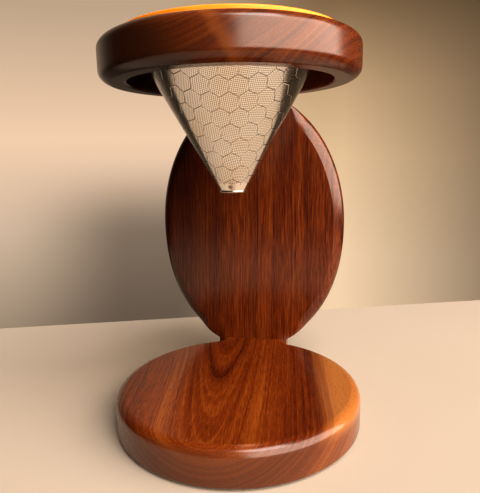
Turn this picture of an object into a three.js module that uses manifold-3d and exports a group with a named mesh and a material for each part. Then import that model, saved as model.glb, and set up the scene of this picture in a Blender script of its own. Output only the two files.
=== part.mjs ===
// A walnut pour-over coffee stand with a lift-out steel cone filter, in millimetres, +Z up.
//
// Three boards of one thickness make the stand: a round base, an oval upright behind it and a
// ring at the top. The base and the ring each end in a short stub that butts against the front face
// of the upright, where two screws under wooden plugs hold it. The filter is a double steel cone in a
// silicone collar that rests on the ring, so it lifts straight out and turns where it sits.
//
// The origin is the centre of the footprint, on the worktop. The cup goes in from -Y, and the upright
// stands at +Y.
import * as THREE from "three";
import { mergeVertices } from "three/addons/utils/BufferGeometryUtils.js";
import Module from "manifold-3d";

const wasm = await Module();
wasm.setup();

// ---------------------------------------------------------------- driving dimensions

const BOARD = 24.5; // thickness of each walnut board
const BASE_RADIUS = 85;
const RING_RADIUS = 81;
const RING_HOLE_RADIUS = 64.5;
const RING_FORWARD = 3; // the ring's centre lies this far in front of the base's
const RING_UNDERSIDE = 228; // height of the ring's lower face
const BASE_TO_UPRIGHT = 84.5; // from the base's centre to the upright's front face
const NECK_HALF_WIDTH = 29.5; // of the stubs, and of the upright where they meet it
const UPRIGHT_HALF_WIDTH = 77.4; // of the upright's oval at its widest
const LOWER_FULLNESS = 2.15; // exponent of the oval's lower half: 2 is an ellipse, more is squarer
const UPPER_FULLNESS = 2;
const UPPER_NECK = 2.5; // how far the straight neck runs on below the ring

const DISC_ROUNDOVER = 6.35; // on the base's upper edge and both of the ring's
const BASE_LOWER_ROUNDOVER = 2;
const UPRIGHT_ROUNDOVER = 9;
const HOLE_ROUNDOVER = 1.5;
const STUB_FILLET = 5; // in the corner between a disc and its stub

const FOOT_RADIUS = 5;
const FOOT_PROUD = 1.2; // how far a foot stands out of the base
const FOOT_RECESS = 0.8;
const FOOT_CIRCLE = 72; // radius of the circle that the feet lie on

const PLUG_RADIUS = 5;
const PLUG_LENGTH = 7;
const SCREW_SPACING = 30; // between the two screws of a joint
const SCREW_HEAD_RADIUS = 4.2;
const SCREW_HEAD_DEPTH = 2.6;
const SCREW_CORE_RADIUS = 1.5;
const SCREW_THREAD_RADIUS = 2.2;
const SCREW_THREAD_PITCH = 3;
const BASE_SCREW_LENGTH = 45;
const RING_SCREW_LENGTH = 32;
const SCREW_TIP_LENGTH = 4;

const CONE_SLOPE = Math.tan(THREE.MathUtils.degToRad(30)); // a 60 degree cone
const TIP_HEIGHT = 160; // height of the cone's lowest point
const TIP_RADIUS = 7.5; // the cone's at that height, where its cap ends
const TIP_CAP_RADIUS = 8.1;
const TIP_CAP_LIP = 1.6; // thickness of the cap's lip, below the sheets
const TIP_CAP_HEIGHT = 5; // to the top of the part that goes up inside them
const SHEET = 0.5; // thickness of the steel sheets
const SHEET_GAP = 0.4; // between the outer cone and the inner one
const RIM_INNER_RADIUS = 60.4;
const RIM_OUTER_RADIUS = 66.6;
const RIM_THICKNESS = 0.8;

const COLLAR_INNER_RADIUS = 63;
const COLLAR_OUTER_RADIUS = 68.5;
const COLLAR_HEIGHT = 4;
const COLLAR_EDGE = 1; // radius of the collar's upper edges
const COLLAR_SLOT = 1.4; // height of the channel that holds the rim

const FIT_GAP = 0.3; // between a piece and the hole it sits in
const GLUE_LINE = 0.1; // between two glued faces
const SEAT_GAP = 0.05; // between two faces that rest on each other

const DISC_STEPS = 64; // straight sides in a full turn of the boards
const LATHE_STEPS = 64;
const SMALL_LATHE_STEPS = 16;
const EDGE_STEPS = 3; // straight sides in a rounded edge

// ---------------------------------------------------------------- places worked out from them

const BASE_Y = (BASE_RADIUS - BASE_TO_UPRIGHT - BOARD) / 2; // centres the footprint on the origin
const RING_Y = BASE_Y - RING_FORWARD;
const UPRIGHT_FRONT = BASE_Y + BASE_TO_UPRIGHT;
const UPRIGHT_BACK = UPRIGHT_FRONT + BOARD;
const BASE_TOP = FOOT_PROUD + BOARD;
const RING_TOP = RING_UNDERSIDE + BOARD;
const UPRIGHT_MIDDLE = (BASE_TOP + RING_UNDERSIDE) / 2;
const BASE_JOINT_HEIGHT = FOOT_PROUD + BOARD / 2;
const RING_JOINT_HEIGHT = RING_UNDERSIDE + BOARD / 2;
const SCREW_SEAT = UPRIGHT_BACK - PLUG_LENGTH - 2 * FIT_GAP; // where the screw heads end
const COLLAR_BOTTOM = RING_TOP + SEAT_GAP;
const RIM_BOTTOM = COLLAR_BOTTOM + (COLLAR_HEIGHT - RIM_THICKNESS) / 2;

// ---------------------------------------------------------------- materials

const walnut = new THREE.MeshStandardMaterial({ color: 0x6b3417, roughness: 0.35, metalness: 0 });
const plugWood = new THREE.MeshStandardMaterial({ color: 0x5a2a12, roughness: 0.4, metalness: 0 });
const zinc = new THREE.MeshStandardMaterial({ color: 0xb9b4a6, roughness: 0.35, metalness: 1 });
const meshSteel = new THREE.MeshStandardMaterial({ color: 0xcfc2a8, roughness: 0.4, metalness: 1 });
const polishedSteel = new THREE.MeshStandardMaterial({ color: 0xd8cfbe, roughness: 0.2, metalness: 1 });
const silicone = new THREE.MeshStandardMaterial({ color: 0xff9a0c, roughness: 0.45, metalness: 0 });
const rubber = new THREE.MeshStandardMaterial({ color: 0x2a2724, roughness: 0.8, metalness: 0 });

// ---------------------------------------------------------------- tools

// Points along an arc about (x, y), from one angle to another.
function arc(x, y, radiusX, radiusY, from, to, steps) {
  const points = [];
  for (let i = 0; i <= steps; i++) {
    const angle = from + ((to - from) * i) / steps;
    points.push(new THREE.Vector2(x + radiusX * Math.cos(angle), y + radiusY * Math.sin(angle)));
  }
  return points;
}

// A geometry as a manifold-3d solid.
function solidOf(geometry) {
  const bare = new THREE.BufferGeometry().setAttribute("position", geometry.getAttribute("position"));
  bare.setIndex(geometry.index);
  const merged = mergeVertices(bare, 1e-3);
  const mesh = new wasm.Mesh({
    numProp: 3,
    vertProperties: new Float32Array(merged.attributes.position.array),
    triVerts: new Uint32Array(merged.index.array),
  });
  return new wasm.Manifold(mesh);
}

// A manifold-3d solid as a geometry.
function geometryOf(solid) {
  const mesh = solid.getMesh();
  const geometry = new THREE.BufferGeometry();
  geometry.setAttribute("position", new THREE.BufferAttribute(mesh.vertProperties, 3));
  geometry.setIndex(new THREE.BufferAttribute(mesh.triVerts, 1));
  geometry.computeVertexNormals();
  return geometry;
}

// A solid of revolution about +Z from (radius, height) points, listed anticlockwise.
function turned(profile, steps = LATHE_STEPS) {
  const points = profile.map(([radius, height]) => new THREE.Vector2(radius, height));
  return new THREE.LatheGeometry(points, steps).rotateX(Math.PI / 2);
}

// The same, when the profile doesn't touch the axis: it closes on its first point.
function turnedRing(profile, steps = LATHE_STEPS) {
  return turned([...profile, profile[0]], steps);
}

// (radius, height) points of a quarter round, from one angle to another.
function quarter(radius, height, size, from, to) {
  return arc(radius, height, size, size, from, to, EDGE_STEPS).map((p) => [p.x, p.y]);
}

// A flat board lying on z = 0 with its edges rounded above and below.
function board(outline, roundover) {
  const geometry = new THREE.ExtrudeGeometry(new THREE.Shape(outline), {
    depth: BOARD - 2 * roundover,
    bevelEnabled: true,
    bevelThickness: roundover,
    bevelSize: roundover,
    bevelOffset: -roundover,
    bevelSegments: EDGE_STEPS,
  });
  return geometry.translate(0, 0, roundover);
}

function block(width, depth, height, x, y, z) {
  return new THREE.BoxGeometry(width, depth, height).translate(x, y, z);
}

function mesh(name, geometry, material) {
  const made = new THREE.Mesh(geometry, material);
  made.name = name;
  return made;
}

// ---------------------------------------------------------------- the boards

// The outline of a disc about (0, 0) with a stub towards +Y, filleted where it leaves the disc.
function discWithStub(radius, stubEnd) {
  const filletX = NECK_HALF_WIDTH + STUB_FILLET;
  const filletY = Math.sqrt((radius + STUB_FILLET) ** 2 - filletX ** 2);
  const leave = Math.atan2(filletY, filletX);
  const toDisc = leave + Math.PI; // from the right fillet's centre to where it meets the disc
  const left = arc(-filletX, filletY, STUB_FILLET, STUB_FILLET, 0, Math.PI - toDisc, EDGE_STEPS);
  const disc = arc(0, 0, radius, radius, Math.PI - leave, 2 * Math.PI + leave, DISC_STEPS);
  const right = arc(filletX, filletY, STUB_FILLET, STUB_FILLET, toDisc, Math.PI, EDGE_STEPS);
  const end = [
    new THREE.Vector2(NECK_HALF_WIDTH, stubEnd),
    new THREE.Vector2(-NECK_HALF_WIDTH, stubEnd),
  ];
  return [...left, ...disc.slice(1), ...right.slice(1), ...end];
}

// A disc board whose stub is cut off square at the upright's front face. Its upper half has one
// roundover and its lower half another.
function discBoard(radius, y, bottom, lowerRoundover) {
  const spare = 2 * DISC_ROUNDOVER; // the stub's rounded end, which is cut away
  const cut = UPRIGHT_FRONT - GLUE_LINE;
  const depth = cut - y + radius;
  const middle = (cut + y - radius) / 2;
  const outline = discWithStub(radius, cut - y + spare);
  const half = (roundover, height) => {
    const whole = solidOf(board(outline, roundover).translate(0, y, bottom));
    const kept = block(2 * radius, depth, BOARD / 2, 0, middle, height);
    return whole.intersect(solidOf(kept));
  };
  const upper = half(DISC_ROUNDOVER, bottom + 0.75 * BOARD);
  return upper.add(half(lowerRoundover, bottom + 0.25 * BOARD));
}

// A rod along Y from one depth to another, as a solid that cuts a hole.
function drill(radius, x, z, from, to) {
  const rod = new THREE.CylinderGeometry(radius, radius, to - from, SMALL_LATHE_STEPS);
  return solidOf(rod.translate(x, (from + to) / 2, z));
}

// The places of one joint's two screws.
function screwPlaces(height) {
  return [-1, 1].map((side) => ({ x: (side * SCREW_SPACING) / 2, z: height }));
}

// Cuts the two pilot holes that a disc board's screws bite into.
function withPilotHoles(solid, height, screwLength) {
  const end = SCREW_SEAT - screwLength - 2 * FIT_GAP;
  for (const { x, z } of screwPlaces(height)) {
    const hole = drill(SCREW_THREAD_RADIUS + FIT_GAP, x, z, end, UPRIGHT_FRONT + BOARD);
    solid = solid.subtract(hole);
  }
  return solid;
}

// Four places round the base, at the corners of a square.
const footPlaces = [1, 3, 5, 7].map((eighths) => {
  const angle = (eighths * Math.PI) / 4;
  return [FOOT_CIRCLE * Math.cos(angle), BASE_Y + FOOT_CIRCLE * Math.sin(angle)];
});

function baseBoard() {
  let solid = discBoard(BASE_RADIUS, BASE_Y, FOOT_PROUD, BASE_LOWER_ROUNDOVER);
  solid = withPilotHoles(solid, BASE_JOINT_HEIGHT, BASE_SCREW_LENGTH);
  for (const [x, y] of footPlaces) {
    const recess = new THREE.CylinderGeometry(
      FOOT_RADIUS + FIT_GAP, FOOT_RADIUS + FIT_GAP, 2 * FOOT_RECESS, SMALL_LATHE_STEPS,
    );
    recess.rotateX(Math.PI / 2).translate(x, y, FOOT_PROUD);
    solid = solid.subtract(solidOf(recess));
  }
  return geometryOf(solid);
}

// The ring's hole, as the solid that cuts it, flared at both faces for the rounded edges.
function holeCutter() {
  const flare = RING_HOLE_RADIUS + HOLE_ROUNDOVER;
  const low = HOLE_ROUNDOVER;
  const high = BOARD - HOLE_ROUNDOVER;
  const beyond = 2;
  return turned([
    [0, -beyond],
    [flare, -beyond],
    ...quarter(flare, low, HOLE_ROUNDOVER, 1.5 * Math.PI, Math.PI),
    ...quarter(flare, high, HOLE_ROUNDOVER, Math.PI, 0.5 * Math.PI),
    [flare, BOARD + beyond],
    [0, BOARD + beyond],
  ], DISC_STEPS);
}

function ringBoard() {
  let solid = discBoard(RING_RADIUS, RING_Y, RING_UNDERSIDE, DISC_ROUNDOVER);
  solid = solid.subtract(solidOf(holeCutter().translate(0, RING_Y, RING_UNDERSIDE)));
  return geometryOf(withPilotHoles(solid, RING_JOINT_HEIGHT, RING_SCREW_LENGTH));
}

// A quarter of the upright's oval, from its widest point to the neck it meets `reach` away.
function ovalQuarter(reach, fullness) {
  const power = 2 / fullness;
  const last = Math.acos((NECK_HALF_WIDTH / UPRIGHT_HALF_WIDTH) ** (1 / power));
  const halfHeight = reach / Math.sin(last) ** power;
  const steps = DISC_STEPS / 4;
  const points = [];
  for (let i = 0; i <= steps; i += 1) {
    const turn = (last * i) / steps;
    const x = UPRIGHT_HALF_WIDTH * Math.cos(turn) ** power;
    points.push(new THREE.Vector2(x, halfHeight * Math.sin(turn) ** power));
  }
  return points;
}

// The upright's outline in (x, z): an oval whose ends run into straight necks.
function uprightOutline() {
  const lower = ovalQuarter(UPRIGHT_MIDDLE - BASE_TOP, LOWER_FULLNESS);
  const upper = ovalQuarter(RING_UNDERSIDE - UPPER_NECK - UPRIGHT_MIDDLE, UPPER_FULLNESS);
  const right = [
    new THREE.Vector2(NECK_HALF_WIDTH, FOOT_PROUD),
    ...lower.reverse().map(({ x, y }) => new THREE.Vector2(x, UPRIGHT_MIDDLE - y)),
    ...upper.slice(1).map(({ x, y }) => new THREE.Vector2(x, UPRIGHT_MIDDLE + y)),
    new THREE.Vector2(NECK_HALF_WIDTH, RING_TOP),
  ];
  const left = right.map(({ x, y }) => new THREE.Vector2(-x, y));
  return [...right, ...left.reverse()];
}

// The upright keeps square front edges where the stubs meet it, and is rounded everywhere else.
function uprightBoard() {
  const blade = board(uprightOutline(), UPRIGHT_ROUNDOVER).rotateX(Math.PI / 2);
  let solid = solidOf(blade.translate(0, UPRIGHT_BACK, 0));
  const depth = BOARD / 2;
  for (const height of [BASE_JOINT_HEIGHT, RING_JOINT_HEIGHT]) {
    const square = block(2 * NECK_HALF_WIDTH, depth, BOARD, 0, UPRIGHT_FRONT + depth / 2, height);
    solid = solid.add(solidOf(square));
    for (const { x, z } of screwPlaces(height)) {
      const through = SCREW_THREAD_RADIUS + FIT_GAP;
      const counterbore = PLUG_RADIUS + FIT_GAP;
      const shoulder = SCREW_SEAT - SCREW_HEAD_DEPTH - FIT_GAP;
      solid = solid.subtract(drill(through, x, z, UPRIGHT_FRONT - BOARD, UPRIGHT_BACK));
      solid = solid.subtract(drill(counterbore, x, z, shoulder, UPRIGHT_BACK + BOARD));
    }
  }
  return geometryOf(solid);
}

// ---------------------------------------------------------------- fasteners and feet

// A countersunk wood screw along Y, with its head's flat face at y = 0 and its tip at -length.
function screw(length) {
  const profile = [[0, -length]];
  for (let y = -length + SCREW_TIP_LENGTH; y < -BOARD + PLUG_LENGTH; y += SCREW_THREAD_PITCH) {
    profile.push([SCREW_CORE_RADIUS, y], [SCREW_THREAD_RADIUS, y + SCREW_THREAD_PITCH / 2]);
  }
  profile.push([SCREW_CORE_RADIUS, -BOARD + PLUG_LENGTH + SCREW_THREAD_PITCH]);
  profile.push([SCREW_CORE_RADIUS, -SCREW_HEAD_DEPTH], [SCREW_HEAD_RADIUS, -SCREW_HEAD_DEPTH / 6]);
  profile.push([SCREW_HEAD_RADIUS, 0], [0, 0]);
  return turned(profile, SMALL_LATHE_STEPS).rotateX(-Math.PI / 2);
}

// A side-grain plug along Y that ends flush with the upright's back, with a softened rim.
function plug() {
  const soft = 0.5;
  const profile = [[0, -PLUG_LENGTH], [PLUG_RADIUS, -PLUG_LENGTH], [PLUG_RADIUS, -soft]];
  profile.push([PLUG_RADIUS - soft, 0], [0, 0]);
  return turned(profile, SMALL_LATHE_STEPS).rotateX(-Math.PI / 2);
}

// A bumper foot on z = 0 that fills its recess in the base.
function foot() {
  const soft = 0.4;
  const top = FOOT_PROUD + FOOT_RECESS - SEAT_GAP;
  const profile = [[0, 0], [FOOT_RADIUS - soft, 0], [FOOT_RADIUS, soft], [FOOT_RADIUS, top], [0, top]];
  return turned(profile, SMALL_LATHE_STEPS);
}

// ---------------------------------------------------------------- the filter, about its own axis

// Radius of the outer cone's outside at a height.
function coneRadius(height) {
  return TIP_RADIUS + (height - TIP_HEIGHT) * CONE_SLOPE;
}

// One conical sheet between two heights, with its outside inset from the outer cone's.
function coneSheet(bottom, top, inset) {
  const low = coneRadius(bottom) - inset;
  const high = coneRadius(top) - inset;
  return turnedRing([[low - SHEET, bottom], [low, bottom], [high, top], [high - SHEET, top]]);
}

// The cap that closes the cone's tip: a round-edged lip under the sheets, and a plug up inside them.
function tipCap() {
  const edge = TIP_CAP_LIP / 2;
  const lipTop = TIP_HEIGHT + TIP_CAP_LIP;
  const inside = 2 * SHEET + SHEET_GAP + FIT_GAP; // from the cone's outside to the plug
  const top = TIP_HEIGHT + TIP_CAP_HEIGHT;
  return turned([
    [0, TIP_HEIGHT],
    ...quarter(TIP_CAP_RADIUS - edge, TIP_HEIGHT + edge, edge, -Math.PI / 2, Math.PI / 2),
    [coneRadius(lipTop) - inside, lipTop],
    [coneRadius(top) - inside, top],
    [0, top],
  ]);
}

// The flat steel rim that both sheets are welded to.
function rimFlange() {
  const top = RIM_BOTTOM + RIM_THICKNESS;
  return turnedRing([
    [RIM_INNER_RADIUS, RIM_BOTTOM],
    [RIM_OUTER_RADIUS, RIM_BOTTOM],
    [RIM_OUTER_RADIUS, top],
    [RIM_INNER_RADIUS, top],
  ]);
}

// The silicone collar: a channel that grips the rim from outside and rests on the ring.
function siliconeCollar() {
  const top = COLLAR_BOTTOM + COLLAR_HEIGHT;
  const soft = COLLAR_EDGE;
  const slotBottom = COLLAR_BOTTOM + (COLLAR_HEIGHT - COLLAR_SLOT) / 2;
  const slotEnd = RIM_OUTER_RADIUS + FIT_GAP;
  return turnedRing([
    [COLLAR_INNER_RADIUS, COLLAR_BOTTOM],
    [COLLAR_OUTER_RADIUS, COLLAR_BOTTOM],
    ...quarter(COLLAR_OUTER_RADIUS - soft, top - soft, soft, 0, Math.PI / 2),
    ...quarter(COLLAR_INNER_RADIUS + soft, top - soft, soft, Math.PI / 2, Math.PI),
    [COLLAR_INNER_RADIUS, slotBottom + COLLAR_SLOT],
    [slotEnd, slotBottom + COLLAR_SLOT],
    [slotEnd, slotBottom],
    [COLLAR_INNER_RADIUS, slotBottom],
  ]);
}

// ---------------------------------------------------------------- assembly

const stand = new THREE.Group();
stand.add(mesh("base_board", baseBoard(), walnut));
stand.add(mesh("upright_board", uprightBoard(), walnut));
stand.add(mesh("ring_board", ringBoard(), walnut));

const joints = [
  { name: "base", height: BASE_JOINT_HEIGHT, screwLength: BASE_SCREW_LENGTH },
  { name: "ring", height: RING_JOINT_HEIGHT, screwLength: RING_SCREW_LENGTH },
];
for (const joint of joints) {
  screwPlaces(joint.height).forEach(({ x, z }, i) => {
    const side = ["left", "right"][i];
    const fastener = mesh(`${joint.name}_screw_${side}`, screw(joint.screwLength), zinc);
    fastener.position.set(x, SCREW_SEAT, z);
    const cover = mesh(`${joint.name}_plug_${side}`, plug(), plugWood);
    cover.position.set(x, UPRIGHT_BACK, z);
    stand.add(fastener, cover);
  });
}

footPlaces.forEach(([x, y], i) => {
  const made = mesh(`foot_${["rear_right", "rear_left", "front_left", "front_right"][i]}`, foot(), rubber);
  made.position.set(x, y, 0);
  stand.add(made);
});

const filter = new THREE.Group();
filter.position.y = RING_Y;
const sheetBottom = TIP_HEIGHT + TIP_CAP_LIP + SEAT_GAP;
const sheetTop = RIM_BOTTOM - SEAT_GAP;
filter.add(mesh("outer_cone", coneSheet(sheetBottom, sheetTop, 0), meshSteel));
filter.add(mesh("inner_cone", coneSheet(sheetBottom, sheetTop, SHEET + SHEET_GAP), meshSteel));
filter.add(mesh("tip_cap", tipCap(), polishedSteel));
filter.add(mesh("rim_flange", rimFlange(), polishedSteel));
filter.add(mesh("silicone_collar", siliconeCollar(), silicone));

const dripper = new THREE.Group();
dripper.add(stand, filter);

export default dripper;
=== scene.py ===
"""The looks of a walnut pour-over coffee stand with a lift-out steel cone filter.

Every wooden, steel, silicone and rubber piece that shows is a fine mesh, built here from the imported
frame's own boxes and a few sizes of the design. Lengths are in metres, +Z up, the frame's own axes.
"""
import math

import bmesh
import bpy
import numpy as np
from mathutils import Matrix, Vector
from mathutils.geometry import delaunay_2d_cdt, tessellate_polygon


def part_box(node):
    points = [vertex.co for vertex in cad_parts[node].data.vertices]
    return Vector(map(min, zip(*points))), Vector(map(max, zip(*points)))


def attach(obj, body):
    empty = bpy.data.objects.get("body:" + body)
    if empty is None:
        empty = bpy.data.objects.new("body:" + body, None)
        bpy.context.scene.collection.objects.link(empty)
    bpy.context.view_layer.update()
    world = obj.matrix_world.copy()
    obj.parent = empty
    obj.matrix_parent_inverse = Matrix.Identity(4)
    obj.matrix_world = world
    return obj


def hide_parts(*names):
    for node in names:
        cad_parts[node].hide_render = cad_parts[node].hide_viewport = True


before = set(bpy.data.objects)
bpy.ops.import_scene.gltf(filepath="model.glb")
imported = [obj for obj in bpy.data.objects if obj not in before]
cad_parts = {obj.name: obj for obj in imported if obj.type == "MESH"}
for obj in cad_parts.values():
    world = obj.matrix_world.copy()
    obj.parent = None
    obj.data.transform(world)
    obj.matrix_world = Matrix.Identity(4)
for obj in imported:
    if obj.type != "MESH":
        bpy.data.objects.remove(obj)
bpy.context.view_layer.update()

MM = 0.001

# ---------------------------------------------------------------- sizes of the design

NECK = 29.5 * MM  # half the width of the stubs and of the upright's necks
STUB_FILLET = 5 * MM
DISC_ROUNDOVER = 6.35 * MM
BASE_LOWER_ROUNDOVER = 2 * MM
UPRIGHT_ROUNDOVER = 9 * MM
NECK_ROUNDOVER = 3 * MM
SQUARE_EDGE = 0.4 * MM  # the rounding of an edge left square
HOLE_RADIUS = 64.5 * MM
HOLE_ROUNDOVER = 1.5 * MM
LOWER_FULLNESS = 2.15  # exponent of the upright's lower half: 2 is an ellipse, more is squarer
UPPER_FULLNESS = 2
UPPER_NECK = 2.5 * MM  # how far the straight neck runs on below the ring
NECK_FILLET = 1.5 * MM  # in the corner where the oval leaves a neck
PLUG_PROUD = 0.12 * MM  # the plugs stand this far out of the upright's back
CREST = math.radians(14)  # the slope at which a roundover meets the flat face, in a crisp line

HALF_ANGLE = math.radians(30)  # of the cone, between its axis and its side
CONE_SLOPE = math.tan(HALF_ANGLE)
SHEET = 0.5 * MM
SHEET_GAP = 0.4 * MM  # between the outer cone and the inner one
RIM_INNER = 60.4 * MM
CAP_LIP = 1.6 * MM  # height of the tip cap's lip, below the sheets
CAP_INSET = 1.7 * MM  # how far inside the outer cone the cap's plug lies
WELD_HEIGHT = 2.1 * MM  # of the spot weld's centre above the outer cone's lower edge
WELD_LIFT = 0.03 * MM
COLLAR_INNER = 63 * MM
COLLAR_EDGE = 1.1 * MM
SLOT_GAP = 0.3 * MM  # between the rim and the collar's channel

PERFORATION_PITCH = 1.12 * MM
PERFORATION_RADIUS = 0.34 * MM
CELL = 11 * MM  # across the flats of the honeycomb cells
SMALLEST_HOLE = 0.12 * MM
CELL_BORDER = 0.20 * MM  # half the width of the plain lines between cells
CELL_TURN = math.radians(4)  # of the honeycomb against the cone's front line
HOLE_TURN = math.radians(17)  # of the rows of holes against it
RIDGE = (0.42 * MM, 0.04 * MM)  # a cell line's raised ridge, from its foot to its crest
MESH_PITCH = 0.42 * MM  # between the inner sheet's pinholes

# oiled walnut in linear colour, from the darkest lines to the lightest fibres
WALNUT = (
    (0.017, 0.0030, 0.0007), (0.062, 0.0092, 0.0012), (0.138, 0.0255, 0.0025), (0.290, 0.0830, 0.0110),
)
END_GRAIN = (0.082, 0.030, 0.012)
SAPWOOD = ((0.42, 0.172, 0.043), (0.28, 0.090, 0.020))
CELL_LINE_SHADE = (0.20, 0.16, 0.125)  # painted shade on the raised cell lines, laid on as a darker steel colour

# ---------------------------------------------------------------- places read from the frame

base_low, base_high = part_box("base_board")
ring_low, ring_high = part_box("ring_board")
upright_low, upright_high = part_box("upright_board")
rim_low, rim_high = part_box("rim_flange")
collar_low, collar_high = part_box("silicone_collar")
cap_low, cap_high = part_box("tip_cap")
cone_low, cone_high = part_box("outer_cone")

# distances down the flat sheet from the point that the cone would run to
SLANT_LOW = (cone_low.z - cone_high.z + cone_high.x / CONE_SLOPE) / math.cos(HALF_ANGLE)
SLANT_HIGH = cone_high.x / math.sin(HALF_ANGLE)
FIELD_LOW = SLANT_LOW + 4.6 * MM  # the perforated field, between plain bands along the sheet's edges
FIELD_HIGH = SLANT_HIGH - 2.4 * MM
SEAM = 2.2 * MM  # half the width of the plain strip at the back, where the sheet's sides are welded

BASE_RADIUS = base_high.x
BASE_Y = base_low.y + BASE_RADIUS
RING_RADIUS = ring_high.x
RING_Y = ring_low.y + RING_RADIUS
UPRIGHT_HALF_WIDTH = upright_high.x
UPRIGHT_MIDDLE = (base_high.z + ring_low.z) / 2
CONE_TOP = cone_high.x  # the outer cone's radius at the rim
APEX = cone_high.z - CONE_TOP / CONE_SLOPE  # height of the point that the cone would run down to
FILTER_AXIS = Vector((0, RING_Y, 0))


# ---------------------------------------------------------------- mesh tools


def piece_from(name, verts, faces, material, body, stands_for=(), sharp=9):
    """A piece of smooth faces, with an edge wherever they turn by more than sharp degrees."""
    mesh = bpy.data.meshes.new(name)
    mesh.from_pydata([tuple(v) for v in verts], [], [tuple(f) for f in faces])
    mesh.validate()
    work = bmesh.new()
    work.from_mesh(mesh)
    bmesh.ops.remove_doubles(work, verts=work.verts, dist=1e-7)
    bmesh.ops.recalc_face_normals(work, faces=work.faces)
    work.to_mesh(mesh)
    work.free()
    mesh.shade_smooth()
    mesh.set_sharp_from_angle(angle=math.radians(sharp))
    mesh.materials.append(material)
    piece = bpy.data.objects.new(name, mesh)
    bpy.context.scene.collection.objects.link(piece)
    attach(piece, body)
    if stands_for:
        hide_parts(*stands_for)
    return piece


def smooth_step(value, low, high):
    """0 below low, 1 above high, and a smooth rise between them."""
    t = min(max((value - low) / (high - low), 0), 1)
    return t * t * (3 - 2 * t)


def direction(angle):
    """The unit vector at an angle from +X."""
    return Vector((math.cos(angle), math.sin(angle)))


def span(start, end, steps):
    """Evenly spaced numbers from start to end, both included."""
    return [start + (end - start) * i / steps for i in range(steps + 1)]


def hollow_arc(centre, radius, start, end, steps):
    """(point, outward normal) pairs along an inner corner's arc, about a centre outside the board."""
    return [(centre + direction(a) * radius, -direction(a)) for a in span(start, end, steps)]


def full_arc(centre, radius, start, end, steps):
    """(point, outward normal) pairs along an outer arc, about a centre inside the board."""
    return [(centre + direction(a) * radius, direction(a)) for a in span(start, end, steps)]


def edge_rows(steps=12):
    """(inset, height) shares of a roundover, from the flat face's crisp line to the side."""
    rows = []
    for a in span(CREST, math.pi / 2, steps):
        inset = (1 - math.sin(a)) / (1 - math.sin(CREST))
        height = (math.cos(CREST) - math.cos(a)) / math.cos(CREST)
        rows.append((inset, height))
    return rows


def board(outline, thickness, closed, hole=None):
    """Points and faces of a board on z = 0 with rounded edges.

    outline lists (point, outward normal, lower roundover, upper roundover), anticlockwise. An open
    outline is closed by one flat end. hole is the (centre, radius, roundover) of a round hole.
    """
    rows = []
    for inset, height in edge_rows():
        rows.append([(p - n * low * inset, low * height) for p, n, low, high in outline])
    for inset, height in reversed(edge_rows()):
        rows.append([(p - n * high * inset, thickness - high * height) for p, n, low, high in outline])
    verts = [(p.x, p.y, z) for row in rows for p, z in row]
    count = len(outline)
    faces = []
    for k in range(len(rows) - 1):
        for i in range(count if closed else count - 1):
            j = (i + 1) % count
            faces.append((k * count + i, k * count + j, (k + 1) * count + j, (k + 1) * count + i))
    last = (len(rows) - 1) * count
    lower = list(range(count))
    upper = list(range(last, last + count))
    if not closed:
        left = [k * count for k in range(len(rows))]
        right = [k * count + count - 1 for k in range(len(rows))]
        faces.append(left + right[::-1])
    if hole is None:
        return verts, faces + [lower[::-1], upper]
    lower_hole, upper_hole = add_hole(verts, faces, hole, thickness)
    for loop, inner in ((lower, lower_hole), (upper, upper_hole)):
        order = loop + inner
        loops = [[Vector(verts[i]) for i in loop], [Vector(verts[i]) for i in inner]]
        faces += [[order[i] for i in corners] for corners in tessellate_polygon(loops)]
    return verts, faces


def add_hole(verts, faces, hole, thickness, steps=256):
    """Adds a round hole's wall and returns its lowest and highest rows of points."""
    centre, radius, roundover = hole
    profile = [(radius + roundover * inset, roundover * height) for inset, height in edge_rows(6)]
    profile += [(r, thickness - z) for r, z in reversed(profile)]
    rows = []
    for r, z in profile:
        rows.append(range(len(verts), len(verts) + steps))
        verts += [(*(centre + direction(math.tau * i / steps) * r), z) for i in range(steps)]
    for below, above in zip(rows, rows[1:]):
        for i in range(steps):
            j = (i + 1) % steps
            faces.append((below[i], above[i], above[j], below[j]))
    return list(rows[0]), list(rows[-1])


def lathe(profile, centre, steps=160, closed=False):
    """Points and faces of (radius, height) points turned about the upright line through centre."""
    verts = []
    rows = []
    for r, z in profile:
        if r < 1e-9:
            rows.append([len(verts)] * steps)
            verts.append((centre.x, centre.y, z))
            continue
        rows.append(range(len(verts), len(verts) + steps))
        for i in range(steps):
            p = direction(math.tau * i / steps) * r
            verts.append((centre.x + p.x, centre.y + p.y, z))
    faces = []
    pairs = list(zip(rows, rows[1:]))
    if closed:
        pairs.append((rows[-1], rows[0]))
    for a, b in pairs:
        for i in range(steps):
            j = (i + 1) % steps
            face = [a[i], a[j], b[j], b[i]]
            faces.append(list(dict.fromkeys(face)))
    return verts, faces


def rounded(corners, steps=6):
    """A closed (radius, height) profile from (radius, height, rounding) corners."""
    made = []
    for k, (r, z, size) in enumerate(corners):
        here = Vector((r, z))
        if size == 0:
            made.append((r, z))
            continue
        before = (Vector(corners[k - 1][:2]) - here).normalized()
        after = (Vector(corners[(k + 1) % len(corners)][:2]) - here).normalized()
        half = before.angle(after) / 2
        reach = size / math.tan(half)
        start, end = here + before * reach, here + after * reach
        for t in span(0, 1, steps):
            middle = start.lerp(here, t).lerp(here.lerp(end, t), t)
            made.append((middle.x, middle.y))
    return made


# ---------------------------------------------------------------- materials


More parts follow.
